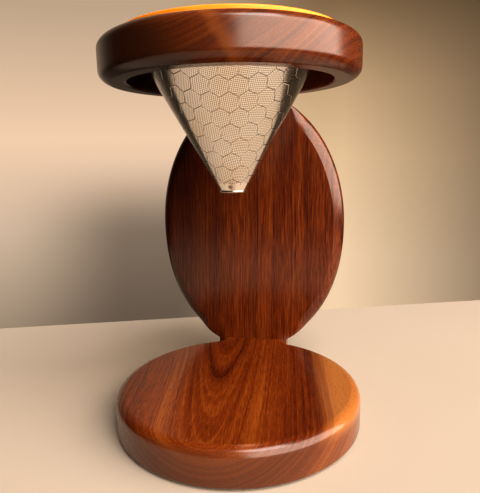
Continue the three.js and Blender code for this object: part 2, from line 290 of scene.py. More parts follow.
class Nodes:
    """Short calls that add shader nodes to one material or world and link them."""

    def __init__(self, owner):
        owner.use_nodes = True
        self.owner = owner
        self.tree = owner.node_tree
        self.shader = self.tree.nodes.get("Principled BSDF")

    @classmethod
    def of_material(cls, name):
        return cls(bpy.data.materials.new(name))

    def add(self, kind, **settings):
        node = self.tree.nodes.new(kind)
        for key, value in settings.items():
            setattr(node, key, value)
        return node

    def feed(self, socket, value):
        """Links a socket's value, or sets a plain one."""
        if isinstance(value, bpy.types.NodeSocket):
            self.tree.links.new(value, socket)
        elif value is not None:
            socket.default_value = value

    def math(self, operation, a, b=None, c=None):
        node = self.add("ShaderNodeMath", operation=operation)
        for socket, value in zip(node.inputs, (a, b, c)):
            self.feed(socket, value)
        return node.outputs[0]

    def length(self, a, b):
        """The length of a vector with the square components a and b."""
        squares = self.math("ADD", self.math("MULTIPLY", a, a), self.math("MULTIPLY", b, b))
        return self.math("SQRT", squares)

    def dot(self, vector, axis):
        node = self.add("ShaderNodeVectorMath", operation="DOT_PRODUCT")
        self.feed(node.inputs[0], vector)
        node.inputs[1].default_value = axis
        return node.outputs["Value"]

    def point(self):
        """The point being shaded, in the frame's own metres."""
        return self.add("ShaderNodeTexCoord").outputs["Object"]

    def join(self, x, y, z):
        node = self.add("ShaderNodeCombineXYZ")
        for socket, value in zip(node.inputs, (x, y, z)):
            self.feed(socket, value)
        return node.outputs[0]

    def noise(self, vector, scale, detail=2.0, rough=0.5):
        node = self.add("ShaderNodeTexNoise")
        self.feed(node.inputs["Vector"], vector)
        node.inputs["Scale"].default_value = scale
        node.inputs["Detail"].default_value = detail
        node.inputs["Roughness"].default_value = rough
        return node.outputs["Fac"]

    def ramp(self, value, low, high, start=0.0, end=1.0, smooth=True):
        """start below low, end above high, and a rise between them."""
        node = self.add("ShaderNodeMapRange", interpolation_type="SMOOTHSTEP" if smooth else "LINEAR")
        for socket, number in zip(node.inputs, (value, low, high, start, end)):
            self.feed(socket, number)
        return node.outputs[0]

    def colours(self, value, stops):
        """A colour band from (place, colour) stops."""
        node = self.add("ShaderNodeValToRGB")
        band = node.color_ramp
        while len(band.elements) < len(stops):
            band.elements.new(0.5)
        for element, (place, colour) in zip(band.elements, stops):
            element.position = place
            element.color = (*colour, 1)
        self.feed(node.inputs[0], value)
        return node.outputs[0]

    def mix(self, share, a, b):
        """The colour a where share is 0, and b where it is 1."""
        node = self.add("ShaderNodeMix", data_type="RGBA")
        self.feed(node.inputs["Factor"], share)
        for socket, colour in ((node.inputs[6], a), (node.inputs[7], b)):
            self.feed(socket, colour if isinstance(colour, bpy.types.NodeSocket) else (*colour, 1))
        return node.outputs[2]

    def bump(self, height, strength, distance):
        node = self.add("ShaderNodeBump")
        node.inputs["Strength"].default_value = strength
        node.inputs["Distance"].default_value = distance
        self.feed(node.inputs["Height"], height)
        self.feed(self.shader.inputs["Normal"], node.outputs[0])

    def set(self, **values):
        """Sets the shader's own sockets; a name's underscores are spaces."""
        for key, value in values.items():
            self.feed(self.shader.inputs[key.replace("_", " ")], value)


def walnut(name, pith, grain, across, ring_gap=0.0024, wander_by=0.008, bands=0.75, lines=0.62,
           fibres=0.64, ends=0.35, sapwood=None, sap_depth=0.0, left_shade=None, tone=1.0, gloss=0.24,
           seed=0.0):
    """Oiled walnut as a solid: growth rings about a pith line, so each face shows its true grain.

    pith is a point on the pith line, grain its direction, and across a direction square to it.
    bands, lines and fibres are the contrast of the broad bands, the thin lines and the fibres, and
    ends is how far end grain is dulled. sapwood is the radius at which pale sapwood starts, to
    sap_depth each side of the pith. left_shade is (edge, slope, reach, share, glow), painted shade:
    left of the leaning line x + slope * z = edge the wood darkens by share over reach, as the shade
    on the side away from the light, with a lighter streak of strength glow along the line.
    """
    n = Nodes.of_material(name)
    grain = Vector(grain).normalized()
    across = (Vector(across) - grain * grain.dot(Vector(across))).normalized()
    up = grain.cross(across)
    shift = n.add("ShaderNodeVectorMath", operation="SUBTRACT")
    n.feed(shift.inputs[0], n.point())
    shift.inputs[1].default_value = pith
    place = shift.outputs[0]
    along = n.dot(place, grain)
    side = n.dot(place, across)
    rise = n.dot(place, up)

    def stretched(over, down, start=0.0):
        """A place for noise: over cells a metre across the grain and down cells a metre along it."""
        return n.join(n.math("MULTIPLY", side, over), n.math("MULTIPLY", rise, over),
                      n.math("MULTIPLY_ADD", along, down, start))

    # the trunk's own wander, slow along the grain, moves the rings in and out
    wander = n.math("SUBTRACT", n.noise(stretched(13.0, 5.0, seed), 1.0, 1.0), 0.5)
    ripple = n.math("SUBTRACT", n.noise(stretched(90.0, 14.0, seed), 1.0, 2.0), 0.5)
    radius = n.length(side, rise)
    radius = n.math("ADD", radius, n.math("MULTIPLY", wander, wander_by))
    radius = n.math("ADD", radius, n.math("MULTIPLY", ripple, 0.0009))

    # growth rings of uneven width; some end in a thin dark line, some in a thin light one
    uneven = n.noise(n.join(n.math("MULTIPLY", radius, 120.0), seed, 0.0), 1.0, 2.0)
    count = n.math("DIVIDE", n.math("MULTIPLY_ADD", uneven, 0.012, radius), ring_gap)
    year = n.math("FRACT", count)
    kind = n.add("ShaderNodeTexWhiteNoise", noise_dimensions="1D")
    n.feed(kind.inputs["W"], n.math("ADD", n.math("FLOOR", count), seed))
    strength = n.math("SUBTRACT", kind.outputs["Value"], 0.36)
    late = n.math("MULTIPLY", n.ramp(year, 0.55, 0.94), n.ramp(year, 1.0, 0.95))
    line = n.math("MULTIPLY", n.math("MULTIPLY", late, late), n.math("MULTIPLY", strength, -0.34))
    broad = n.noise(n.join(n.math("MULTIPLY", radius, 62.0), seed + 3.0,
                           n.math("MULTIPLY", along, 3.0)), 1.0, 2.0, 0.5)
    thin = n.noise(n.join(n.math("MULTIPLY", radius, 700.0), seed + 5.0,
                          n.math("MULTIPLY", along, 6.0)), 1.0, 3.0, 0.65)

    # fibres and pores, long along the grain
    fibre = n.noise(stretched(1500.0, 55.0), 1.0, 3.0, 0.6)
    pore = n.ramp(n.noise(stretched(2300.0, 190.0), 1.0, 1.0), 0.58, 0.70)
    pore = n.math("MULTIPLY", pore, n.ramp(year, 0.95, 0.25, 0.35, 1.0))

    # depth runs from the darkest lines to the lightest fibres
    depth = n.math("ADD", line, n.math("MULTIPLY_ADD", broad, bands, -bands / 2))
    depth = n.math("ADD", depth, n.math("MULTIPLY_ADD", thin, lines, -lines / 2))
    depth = n.math("ADD", depth, n.math("MULTIPLY_ADD", fibre, fibres, 0.5 - fibres / 2))
    dark, deep, middle, light = (tuple(c * tone for c in colour) for colour in WALNUT)
    colour = n.colours(depth, [(0.10, dark), (0.34, deep), (0.56, middle), (0.92, light)])
    if sapwood is not None:
        pale = n.mix(n.math("MULTIPLY", fibre, 0.9), *SAPWOOD)
        where = n.math("ADD", radius, n.math("MULTIPLY_ADD", thin, 0.010, -0.005))
        outer = n.math("MULTIPLY", n.ramp(where, sapwood - 0.007, sapwood + 0.010, 0.0, 0.9),
                       n.ramp(n.math("ABSOLUTE", rise), sap_depth + 0.010, sap_depth, 0.12, 1.0))
        colour = n.mix(outer, colour, pale)
    # painted shade: the wood darkens left of a leaning line, on the side away from the light, with a
    # lighter streak along that line
    if left_shade is not None:
        edge, slope, reach, share, glow = left_shade
        lean = n.dot(n.point(), (1.0, 0.0, slope))
        lean = n.math("ADD", lean, n.math("MULTIPLY_ADD", broad, 0.012, -0.006))
        colour = n.mix(n.ramp(lean, edge + 0.003, edge - reach, 0.0, share), colour, dark)
        streak = n.math("MULTIPLY", n.ramp(lean, edge - 0.002, edge + 0.003),
                        n.ramp(lean, edge + 0.011, edge + 0.004))
        colour = n.mix(n.math("MULTIPLY", streak, glow), colour, light)
    colour = n.mix(n.math("MULTIPLY", pore, 0.42), colour, dark)
    facing = n.dot(n.add("ShaderNodeTexCoord").outputs["Normal"], grain)
    end_grain = n.ramp(n.math("ABSOLUTE", facing), 0.45, 1.0, 0.0, ends)
    colour = n.mix(end_grain, colour, tuple(c * tone for c in END_GRAIN))
    n.set(Base_Color=colour, IOR=1.45, Specular_IOR_Level=0.06)
    n.set(Coat_Weight=1.0, Coat_Roughness=gloss, Coat_IOR=1.5)
    rough = n.math("MULTIPLY_ADD", fibre, 0.12, n.math("MULTIPLY_ADD", pore, 0.20, 0.40))
    n.set(Roughness=rough)
    relief = n.math("MULTIPLY_ADD", pore, -1.0, n.math("MULTIPLY", fibre, 0.25))
    n.bump(relief, 0.30, 0.00010)
    return n.owner


def flat_pattern(n):
    """(u, v) of a point on the cone's sheet as it was before it was rolled, in metres."""
    place = n.add("ShaderNodeSeparateXYZ")
    n.feed(place.inputs[0], n.point())
    x = place.outputs[0]
    y = n.math("SUBTRACT", RING_Y, place.outputs[1])
    slant = n.math("DIVIDE", n.math("SUBTRACT", place.outputs[2], APEX), math.cos(HALF_ANGLE))
    turn = n.math("MULTIPLY", n.math("ARCTAN2", x, y), math.sin(HALF_ANGLE))
    u = n.math("MULTIPLY", slant, n.math("COSINE", turn))
    v = n.math("MULTIPLY", slant, n.math("SINE", turn))
    return u, v


def cell_edge(n, u, v):
    """How far a point of the flat sheet lies inside the honeycomb cell that holds it."""
    cos, sin = math.cos(CELL_TURN), math.sin(CELL_TURN)
    first = n.math("ADD", n.math("MULTIPLY", u, cos), n.math("MULTIPLY", v, sin))
    second = n.math("SUBTRACT", n.math("MULTIPLY", v, cos), n.math("MULTIPLY", u, sin))
    step = CELL * math.sqrt(3)
    best = None
    for shift in (0.0, 0.5):
        a = n.math("SUBTRACT", n.math("DIVIDE", first, step), shift)
        b = n.math("SUBTRACT", n.math("DIVIDE", second, CELL), shift)
        a = n.math("MULTIPLY", n.math("ABSOLUTE", n.math("SUBTRACT", a, n.math("ROUND", a))), step)
        b = n.math("MULTIPLY", n.math("ABSOLUTE", n.math("SUBTRACT", b, n.math("ROUND", b))), CELL)
        slanted = n.math("ADD", n.math("MULTIPLY", a, math.sqrt(3) / 2), n.math("MULTIPLY", b, 0.5))
        inside = n.math("SUBTRACT", CELL / 2, n.math("MAXIMUM", b, slanted))
        best = inside if best is None else n.math("MAXIMUM", best, inside)
    return best


def sheet_steel(name, colour, rough):
    """Rolled stainless sheet with a faint brushed grain round the cone and a few heat-tinted clouds."""
    n = Nodes.of_material(name)
    u, v = flat_pattern(n)
    grain_place = n.join(n.math("MULTIPLY", u, 2600.0), n.math("MULTIPLY", v, 60.0), 0.0)
    brushed = n.noise(grain_place, 1.0, 2.0)
    clouds = n.noise(n.point(), 45.0, 3.0)
    warmer = tuple(c * share for c, share in zip(colour, (1.0, 0.93, 0.84)))
    tint = n.mix(n.ramp(clouds, 0.35, 0.75), colour, warmer)
    slant = n.length(u, v)
    ridge = n.ramp(cell_edge(n, u, v), *RIDGE)
    ridge = n.math("MULTIPLY", ridge, n.ramp(slant, FIELD_LOW - 0.5 * MM, FIELD_LOW))
    ridge = n.math("MULTIPLY", ridge, n.ramp(slant, FIELD_HIGH + 0.5 * MM, FIELD_HIGH))
    # painted shade along the raised cell lines: the steel colour darkens there
    n.set(Base_Color=n.mix(n.math("MULTIPLY", ridge, 0.70), tint, CELL_LINE_SHADE), Metallic=1.0)
    cloudy = n.math("MULTIPLY_ADD", clouds, 0.08, rough - 0.08)
    n.set(Roughness=n.math("MULTIPLY_ADD", brushed, 0.08, cloudy))
    grain = n.math("MULTIPLY_ADD", brushed, 0.02, n.math("MULTIPLY", clouds, 0.10))
    n.bump(n.math("ADD", grain, ridge), 1.0, 0.00008)
    return n.owner


def fine_mesh_steel(name):
    """The inner sheet: a much finer etched mesh, drawn as dark pinholes in the rolled steel."""
    n = Nodes.of_material(name)
    u, v = flat_pattern(n)
    off_u, off_v = (
        n.math("SUBTRACT", n.math("FRACT", n.math("DIVIDE", place, MESH_PITCH)), 0.5) for place in (u, v)
    )
    hole = n.ramp(n.length(off_u, off_v), 0.32, 0.22)
    clouds = n.noise(n.point(), 60.0, 3.0)
    steel = n.mix(clouds, (0.20, 0.165, 0.13), (0.13, 0.105, 0.08))
    # painted shade: each pinhole is filled with near-black, the shade that shows through it
    n.set(Base_Color=n.mix(hole, steel, (0.030, 0.022, 0.016)))
    n.set(Metallic=n.math("MULTIPLY_ADD", hole, -0.8, 1.0))
    n.set(Roughness=n.math("MULTIPLY_ADD", hole, 0.4, n.math("MULTIPLY_ADD", clouds, 0.12, 0.34)))
    ridge = n.ramp(cell_edge(n, u, v), *RIDGE)
    n.bump(n.math("MULTIPLY_ADD", hole, 0.3, ridge), 1.0, -0.00009)
    return n.owner


def polished_steel(name):
    """Turned stainless: fine rings about the filter's axis, and a few wiped marks."""
    n = Nodes.of_material(name)
    place = n.add("ShaderNodeSeparateXYZ")
    n.feed(place.inputs[0], n.point())
    x = place.outputs[0]
    y = n.math("SUBTRACT", place.outputs[1], RING_Y)
    radius = n.length(x, y)
    height = place.outputs[2]
    ring_place = n.join(n.math("MULTIPLY", radius, 4200.0), n.math("MULTIPLY", height, 4200.0), 0.0)
    rings = n.noise(ring_place, 1.0, 2.0)
    wiped = n.noise(n.point(), 90.0, 4.0, 0.6)
    n.set(Base_Color=n.mix(wiped, (0.66, 0.62, 0.55), (0.56, 0.51, 0.44)), Metallic=1.0)
    n.set(Roughness=n.math("MULTIPLY_ADD", rings, 0.10, n.math("MULTIPLY_ADD", wiped, 0.16, 0.14)))
    n.bump(rings, 0.10, 0.00004)
    return n.owner


def zinc_plate(name):
    """Bright zinc on the hidden screws."""
    n = Nodes.of_material(name)
    spangle = n.add("ShaderNodeTexVoronoi")
    n.feed(spangle.inputs["Vector"], n.point())
    spangle.inputs["Scale"].default_value = 900.0
    depth = spangle.outputs["Distance"]
    n.set(Base_Color=n.mix(depth, (0.55, 0.53, 0.46), (0.62, 0.60, 0.55)), Metallic=1.0)
    n.set(Roughness=n.ramp(depth, 0.0, 0.6, 0.28, 0.42))
    return n.owner


def silicone_rubber(name, colour, dust, rough, glow):
    """Moulded silicone or rubber: a soft satin skin with fine grain and a trace of dust.

    glow is the share of light that scatters inside it.
    """
    n = Nodes.of_material(name)
    fine = n.noise(n.point(), 2600.0, 2.0)
    patches = n.noise(n.point(), 70.0, 3.0)
    n.set(Base_Color=n.mix(n.ramp(patches, 0.35, 0.8), colour, dust), IOR=1.43)
    n.set(Roughness=n.math("MULTIPLY_ADD", fine, 0.14, n.math("MULTIPLY_ADD", patches, 0.10, rough)))
    n.set(Subsurface_Weight=glow, Subsurface_Scale=0.004)
    n.bump(fine, 0.12, 0.00006)
    return n.owner


# ---------------------------------------------------------------- the boards


def disc_outline(radius, centre_y, lower, upper):
    """A disc's outline with its stub, open where the stub meets the upright's front face."""
    end = upright_low.y - 0.1 * MM
    reach = NECK + STUB_FILLET
    fillet_y = math.sqrt((radius + STUB_FILLET) ** 2 - reach**2)
    leave = math.atan2(fillet_y, reach)
    centre = Vector((0, centre_y))
    straight = [Vector((-NECK, y)) for y in span(end, centre_y + fillet_y, 6)]
    left = [(p, Vector((-1, 0))) for p in straight[:-1]]
    left += hollow_arc(centre + Vector((-reach, fillet_y)), STUB_FILLET, 0, -leave, 12)
    disc = full_arc(centre, radius, math.pi - leave, math.tau + leave, 300)
    right = [(Vector((-p.x, p.y)), Vector((-n.x, n.y))) for p, n in reversed(left)]
    return [(p, n, lower, upper) for p, n in left + disc[1:-1] + right]


def oval_quarter(reach, fullness, end):
    """(point, normal) pairs from the middle of a neck's end to the oval's widest point.

    x is the distance from the upright's centre line and y that from its middle. The neck ends at
    end, and the oval meets it at reach.
    """
    power = 2 / fullness
    last = math.acos((NECK / UPRIGHT_HALF_WIDTH) ** (1 / power))
    half = reach / math.sin(last) ** power

    def at(turn):
        high = max(math.sin(turn), 0) ** power
        return Vector((UPRIGHT_HALF_WIDTH * math.cos(turn) ** power, half * high))

    def normal(p):
        x = (p.x / UPRIGHT_HALF_WIDTH) ** (fullness - 1) / UPRIGHT_HALF_WIDTH
        return Vector((x, (p.y / half) ** (fullness - 1) / half)).normalized()

    corner = at(last)
    turn = math.atan2(normal(corner).y, normal(corner).x)
    trim = NECK_FILLET * math.tan(turn / 2)
    speed = (at(last) - at(last - 1e-4)).length / 1e-4
    hollow = corner + Vector((NECK_FILLET, trim))
    outer = NECK_ROUNDOVER + 0.6 * MM  # rounding of the neck's outer corner
    made = [(Vector((x, end)), Vector((0, 1))) for x in span(0, NECK - outer, 8)]
    made += full_arc(Vector((NECK - outer, end - outer)), outer, math.pi / 2, 0, 8)[1:]
    made += [(Vector((NECK, y)), Vector((1, 0))) for y in span(end - outer, reach + trim, 8)[1:]]
    made += [(hollow - direction(a) * NECK_FILLET, direction(a)) for a in span(0, turn, 10)[1:]]
    made += [(at(t), normal(at(t))) for t in span(last - trim / speed, 0, 110)[1:]]
    return made


def upright_outline():
    """The upright's outline in (x, z): an oval between two straight necks."""
    middle = UPRIGHT_MIDDLE
    lower = oval_quarter(middle - base_high.z, LOWER_FULLNESS, middle - upright_low.z)
    upper = oval_quarter(ring_low.z - UPPER_NECK - middle, UPPER_FULLNESS, upright_high.z - middle)
    right = [(Vector((p.x, middle - p.y)), Vector((n.x, -n.y))) for p, n in lower]
    right += [(Vector((p.x, middle + p.y)), n) for p, n in reversed(upper[:-1])]
    left = [(Vector((-p.x, p.y)), Vector((-n.x, n.y))) for p, n in reversed(right[1:-1])]
    made = []
    for p, n in right + left:
        clear = min(p.y - base_high.z, ring_low.z - p.y)  # distance from the nearer joint
        share = smooth_step(clear, 1 * MM, 16 * MM)
        back = NECK_ROUNDOVER + (UPRIGHT_ROUNDOVER - NECK_ROUNDOVER) * share
        front = SQUARE_EDGE + (UPRIGHT_ROUNDOVER - SQUARE_EDGE) * share
        made.append((p, n, back, front))
    return made


def add_boards():
    """The pith of each board lies where its face shows the grain it should."""
    base_wood = walnut(
        "base_walnut", (-0.0145, BASE_Y - 0.005, base_high.z + 0.040), (-0.087, 1, -0.05), (1, 0, 0),
        ring_gap=0.0020, wander_by=0.004, ends=0.55, sapwood=0.084, sap_depth=0.044, tone=1.0,
        gloss=0.20, seed=1.7,
    )
    verts, faces = board(
        disc_outline(BASE_RADIUS, BASE_Y, BASE_LOWER_ROUNDOVER, DISC_ROUNDOVER),
        base_high.z - base_low.z, False,
    )
    verts = [(x, y, z + base_low.z) for x, y, z in verts]
    piece_from("base", verts, faces, base_wood, "stand", ["base_board"])

    ring_wood = walnut(
        "ring_walnut", (-0.020, RING_Y, ring_high.z + 0.060), (0.14, 1, -0.03), (1, 0, 0),
        # painted shade darkens the ring's left half, the side away from the window
        left_shade=(0.1490, 0.6, 0.040, 0.97, 0.55), tone=0.88, gloss=0.24, seed=6.1,
    )
    verts, faces = board(
        disc_outline(RING_RADIUS, RING_Y, DISC_ROUNDOVER, DISC_ROUNDOVER),
        ring_high.z - ring_low.z, False, (Vector((0, RING_Y)), HOLE_RADIUS, HOLE_ROUNDOVER),
    )
    verts = [(x, y, z + ring_low.z) for x, y, z in verts]
    piece_from("ring", verts, faces, ring_wood, "stand", ["ring_board"])

    upright_wood = walnut(
        "upright_walnut", (-0.190, upright_low.y + 0.055, 0), (0.012, 0.01, 1), (1, 0, 0),
        # painted shade darkens the upright's left side a little, the side away from the window
        ring_gap=0.0030, bands=0.50, lines=0.60, fibres=1.15, left_shade=(-0.004, 0.02, 0.050, 0.62, 0.10),
        tone=0.86, gloss=0.20, seed=11.3,
    )
    back = upright_high.y - PLUG_PROUD
    verts, faces = board(upright_outline(), back - upright_low.y, True)
    verts = [(x, back - depth, z) for x, z, depth in verts]
    piece_from("upright", verts, faces, upright_wood, "stand", ["upright_board"])


# ---------------------------------------------------------------- plugs, screws and feet


def add_plugs_and_screws():
    """Round plugs over the screws, with their grain leaning a little against the upright's."""
    zinc = zinc_plate("zinc_plate")
    for joint in ("base", "ring"):
        for side in ("left", "right"):
            low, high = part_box(f"{joint}_plug_{side}")
            centre = (low + high) / 2
            radius = high.z - centre.z
            depth = high.y - low.y
            profile = rounded([(0, 0, 0), (radius, 0, 0.3 * MM), (radius, depth, 0.25 * MM), (0, depth, 0)])
            verts, faces = lathe(profile, Vector((0, 0, 0)), 64)
            verts = [(centre.x + x, low.y + z, centre.z + y) for x, y, z in verts]
            wood = walnut(
                f"{joint}_plug_wood_{side}", (centre.x - 0.05, 0, centre.z - 0.06), (0.3, 0.02, 1),
                (1, 0, 0), tone=1.3, seed=centre.x * 300 + centre.z * 90,
            )
            name = f"{joint}_plug_cover_{side}"
            piece_from(name, verts, faces, wood, "stand", [f"{joint}_plug_{side}"], 40)
            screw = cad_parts[f"{joint}_screw_{side}"]
            screw.data.materials.clear()
            screw.data.materials.append(zinc)


def add_feet():
    """Four rubber bumpers, flat below and slightly smaller where they touch the surface."""
    rubber = silicone_rubber("foot_rubber", (0.020, 0.018, 0.016), (0.045, 0.040, 0.034), 0.55, 0.0)
    for row in ("rear", "front"):
        for side in ("left", "right"):
            node = f"foot_{row}_{side}"
            low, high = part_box(node)
            centre = (low + high) / 2
            radius = (high.x - low.x) / 2
            profile = rounded([
                (0, low.z, 0), (radius - 0.3 * MM, low.z, 0.5 * MM),
                (radius, high.z, 0.15 * MM), (0, high.z, 0),
            ])
            verts, faces = lathe(profile, centre, 64)
            piece_from(f"{row}_{side}_bumper", verts, faces, rubber, "stand", [node], 50)


# ---------------------------------------------------------------- the filter


def rolled(u, v):
    """Where a point of the flat sheet lies once the sheet is rolled into the outer cone."""
    slant = np.hypot(u, v)
    turn = np.arctan2(v, u) / math.sin(HALF_ANGLE)
    radius = slant * math.sin(HALF_ANGLE)
    return np.column_stack([
        radius * np.sin(turn), RING_Y - radius * np.cos(turn), APEX + slant * math.cos(HALF_ANGLE),
    ])


def border_distance(u, v):
    """How far points of the flat sheet lie inside the honeycomb cell that holds them."""
    cos, sin = math.cos(CELL_TURN), math.sin(CELL_TURN)
    u, v = u * cos + v * sin, v * cos - u * sin
    rows = CELL * math.sqrt(3) / 2
    best = None
    for offset in (0, 1):
        cu = np.round((u - offset * rows) / (2 * rows)) * 2 * rows + offset * rows
        cv = np.round((v - offset * CELL / 2) / CELL) * CELL + offset * CELL / 2
        du, dv = u - cu, v - cv
        inside = CELL / 2 - np.maximum(np.abs(dv), np.abs(du) * math.sqrt(3) / 2 + np.abs(dv) / 2)
        best = inside if best is None else np.maximum(best, inside)
    return best


def perforated_sheet():
    """Points and faces of the outer cone: real holes in honeycomb cells between plain lines."""
    pitch = PERFORATION_PITCH
    cos, sin = math.cos(HOLE_TURN), math.sin(HOLE_TURN)
    reach = int(SLANT_HIGH / pitch) + 2
    size = 2 * reach + 1
    i, j = np.meshgrid(np.arange(-reach, reach + 1), np.arange(-reach, reach + 1), indexing="ij")

    def place(i, j):
        return (i * cos - j * sin) * pitch, (i * sin + j * cos) * pitch

    u, v = place(i, j)
    slant = np.hypot(u, v)
    good = (slant > FIELD_LOW) & (slant < FIELD_HIGH) & (u > SEAM)
    kept = good[:-1, :-1] & good[1:, :-1] & good[:-1, 1:] & good[1:, 1:]
    ci, cj = np.nonzero(kept)
    mid_u, mid_v = place(ci - reach + 0.5, cj - reach + 0.5)
    room = np.clip(border_distance(mid_u, mid_v) - CELL_BORDER, 0, PERFORATION_RADIUS)
    open_cell = room > SMALLEST_HOLE
    room = room[open_cell]

    # the grid's own corners
    used = np.zeros((size, size), bool)
    for a in (0, 1):
        for b in (0, 1):
            used[ci + a, cj + b] = True
    number = np.full((size, size), -1)
    number[used] = np.arange(used.sum())
    flat = [np.column_stack([u[used], v[used]])]
    total = int(used.sum())
    corner = [number[ci + a, cj + b] for a, b in ((1, 1), (0, 1), (0, 0), (1, 0))]
    faces = [tuple(f) for f in np.column_stack(corner)[~open_cell]]

    # six points round each hole, and the faces between them and the cell's corners
    c = np.column_stack(corner)[open_cell]
    first = total + 6 * np.arange(len(c))
    ring = np.stack([
        np.column_stack([
            mid_u[open_cell] + room * math.cos(math.pi / 3 * k + HOLE_TURN),
            mid_v[open_cell] + room * math.sin(math.pi / 3 * k + HOLE_TURN),
        ]) for k in range(6)
    ], axis=1).reshape(-1, 2)
    flat.append(ring)
    total += len(ring)
    h = [first + k for k in range(6)]
    around = (
        (c[:, 0], c[:, 1], h[2], h[1]), (c[:, 1], h[3], h[2]), (c[:, 1], c[:, 2], h[3]),
        (c[:, 2], h[4], h[3]), (c[:, 2], c[:, 3], h[5], h[4]), (c[:, 3], h[0], h[5]),
        (c[:, 3], c[:, 0], h[0]), (c[:, 0], h[1], h[0]),
    )
    for corners in around:
        faces += [tuple(f) for f in np.column_stack(corners)]

    # the plain margins between the grid's stepped border and the sheet's own edges
    edges = {}
    for f in np.column_stack(corner):
        for a, b in zip(f, np.roll(f, -1)):
            key = (min(a, b), max(a, b))
            edges[key] = edges.get(key, 0) + 1
    border = [e for e, times in edges.items() if times == 1]
    names = sorted({a for e in border for a in e})
    local = {a: k for k, a in enumerate(names)}
    points = [Vector(flat[0][a]) for a in names]
    lines = [(local[a], local[b]) for a, b in border]
    top = [direction(a) * SLANT_HIGH for a in span(-math.pi / 2, math.pi / 2, 420)]
    low = [direction(a) * SLANT_LOW for a in span(math.pi / 2, -math.pi / 2, 120)]
    right_seam = [Vector((0, y)) for y in span(SLANT_HIGH, SLANT_LOW, 90)][1:-1]
    left_seam = [Vector((0, -y)) for y in span(SLANT_LOW, SLANT_HIGH, 90)][1:-1]
    rim = top + right_seam + low + left_seam
    start = len(points)
    points += rim
    lines += [(start + k, start + (k + 1) % len(rim)) for k in range(len(rim))]
    made, _, triangles, _, _, _ = delaunay_2d_cdt(points, lines, [], 0, 1e-9)
    made = np.array([tuple(p) for p in made])
    triangles = np.array([t for t in triangles if len(t) == 3])
    centre = made[triangles].mean(1)
    slant = np.hypot(centre[:, 0], centre[:, 1])
    gi = np.floor((centre[:, 0] * cos + centre[:, 1] * sin) / pitch).astype(int) + reach
    gj = np.floor((centre[:, 1] * cos - centre[:, 0] * sin) / pitch).astype(int) + reach
    inside = kept[np.clip(gi, 0, size - 2), np.clip(gj, 0, size - 2)]
    chord = SLANT_LOW * math.cos(math.pi / 240)
    wanted = ~inside & (centre[:, 0] > 0) & (slant > chord)
    faces += [tuple(t + total) for t in triangles[wanted]]
    flat.append(made)
    flat = np.concatenate(flat)
    return rolled(flat[:, 0], flat[:, 1]), faces


def add_cones():
    """The perforated outer sheet and the finer sheet inside it."""
    steel = sheet_steel("perforated_steel", (0.93, 0.885, 0.825), 0.17)
    verts, faces = perforated_sheet()
    piece_from("perforated_cone", verts, faces, steel, "filter", ["outer_cone"], 60)

    inset = SHEET + SHEET_GAP
    low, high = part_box("inner_cone")
    low_radius = (low.z - APEX) * CONE_SLOPE - inset
    high_radius = (high.z - APEX) * CONE_SLOPE - inset
    verts, faces = lathe([
        (low_radius - SHEET, low.z), (low_radius, low.z),
        (high_radius, high.z), (high_radius - SHEET, high.z),
    ], FILTER_AXIS, 256, closed=True)
    mesh_steel = fine_mesh_steel("fine_mesh_steel")
    piece_from("mesh_cone", verts, faces, mesh_steel, "filter", ["inner_cone"], 50)


def add_rim_and_cap():
    """The turned steel rim at the cone's mouth and the cap at its tip."""
    steel = polished_steel("polished_steel")
    outer = rim_high.x
    profile = rounded([
        (RIM_INNER, rim_low.z, 0.15 * MM), (outer, rim_low.z, 0.3 * MM),
        (outer, rim_high.z, 0.3 * MM), (RIM_INNER, rim_high.z, 0.38 * MM),
    ])
    verts, faces = lathe(profile, FILTER_AXIS, 256, closed=True)
    piece_from("filter_rim", verts, faces, steel, "filter", ["rim_flange"], 50)

    lip = cap_high.x
    lip_top = cap_low.z + CAP_LIP
    plug_low = (lip_top - APEX) * CONE_SLOPE - CAP_INSET
    plug_high = (cap_high.z - APEX) * CONE_SLOPE - CAP_INSET
    profile = rounded([
        (0, cap_low.z + 0.35 * MM, 0), (lip * 0.62, cap_low.z + 0.3 * MM, 0.5 * MM),
        (lip * 0.72, cap_low.z, 0.5 * MM), (lip, cap_low.z, 0.75 * MM), (lip, lip_top, 0.55 * MM),
        (plug_low, lip_top, 0.1 * MM), (plug_high, cap_high.z, 0.4 * MM), (0, cap_high.z, 0),
    ])
    verts, faces = lathe(profile, FILTER_AXIS, 128)
    piece_from("cone_tip", verts, faces, steel, "filter", ["tip_cap"], 50)


def add_weld_spot():
    """The shallow round mark of a spot weld on the plain band at the cone's tip."""
    steel = sheet_steel("weld_steel", (0.42, 0.36, 0.29), 0.38)
    slant = (cone_low.z + WELD_HEIGHT - APEX) / math.cos(HALF_ANGLE)
    # (radius, height) in mm: a dimple inside a raised ring
    profile = [(0, -0.02), (0.7, -0.02), (1.0, 0.02), (1.2, 0.06), (1.35, 0.05), (1.45, 0.0)]
    steps = 40
    flat, lift = [], []
    for radius, height in profile:
        for k in range(1 if radius == 0 else steps):
            p = direction(math.tau * k / steps) * radius * MM
            flat.append((slant + p.x, p.y))
            lift.append(height * MM)
    flat = np.array(flat)
    points = rolled(flat[:, 0], flat[:, 1])
    outward = points - np.array([0, RING_Y, 0])
    outward[:, 2] = 0
    outward /= np.linalg.norm(outward, axis=1)[:, None]
    normal = outward * math.cos(HALF_ANGLE)
    normal[:, 2] = -math.sin(HALF_ANGLE)
    points = points + normal * (np.array(lift)[:, None] + WELD_LIFT)
    faces = [(0, 1 + k, 1 + (k + 1) % steps) for k in range(steps)]
    for row in range(len(profile) - 2):
        a, b = 1 + row * steps, 1 + (row + 1) * steps
        faces += [(a + k, b + k, b + (k + 1) % steps, a + (k + 1) % steps) for k in range(steps)]
    piece_from("weld_spot", points, faces, steel, "filter", sharp=80)


